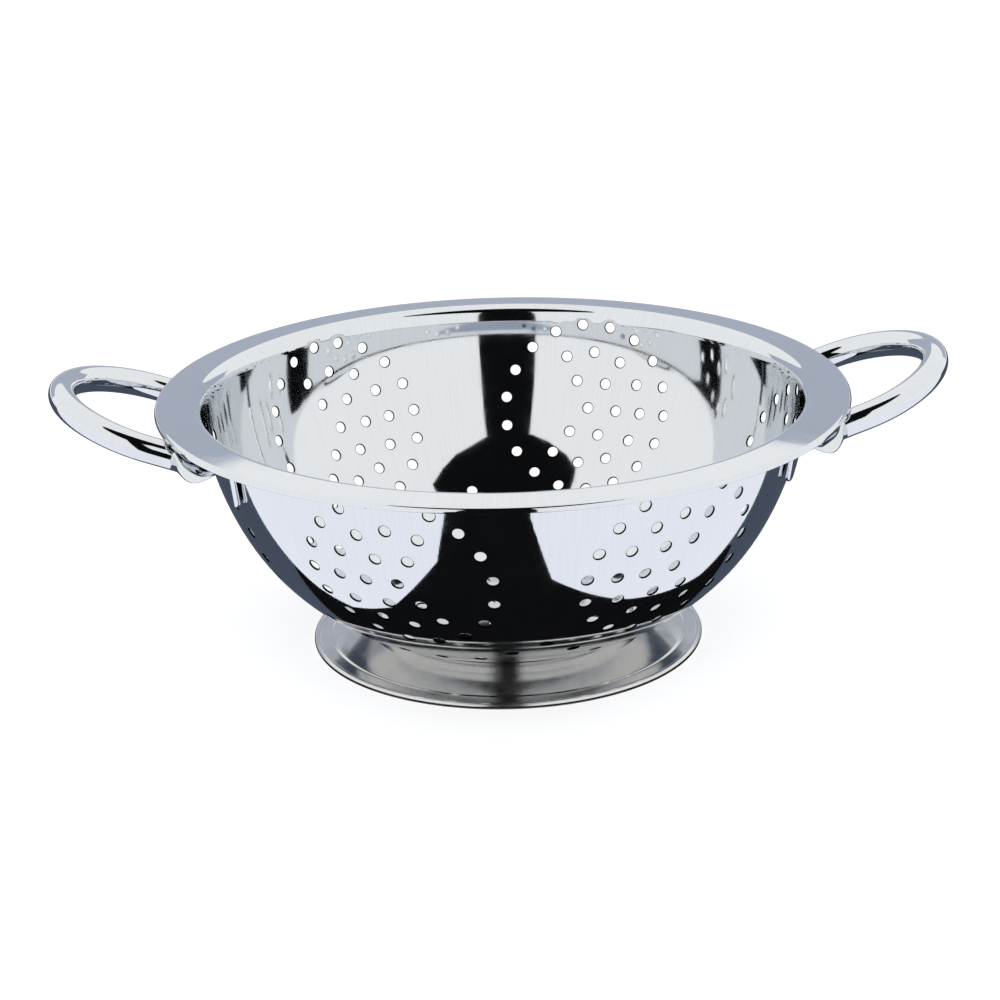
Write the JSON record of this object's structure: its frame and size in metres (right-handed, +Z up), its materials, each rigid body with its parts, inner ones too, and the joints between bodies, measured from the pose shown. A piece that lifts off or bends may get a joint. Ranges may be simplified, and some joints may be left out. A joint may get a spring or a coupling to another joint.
{
  "type": "colander",
  "caption": "Stainless steel colander: perforated bowl with a flat turned-down rim, a spun foot ring and tube handles spot-welded below the rim.",
  "frame": {"origin": "middle of the foot bead, on the surface the colander stands on", "axes": "+Z up through the bowl's middle, +X towards the right handle, -Y towards the side that the picture shows"},
  "size_m": [0.3374, 0.26, 0.1094],
  "materials": {
    "bowl": "mirror polished stainless steel, faint spinning lines",
    "foot_ring": "satin to mirror polished stainless steel",
    "left_handle": "mirror polished stainless steel tube",
    "right_handle": "mirror polished stainless steel tube"
  },
  "bodies": {
    "root": {"bowl": "bowl", "foot_ring": "foot_ring", "left_handle": "left_handle", "right_handle": "right_handle"}
  },
  "joints": []
}
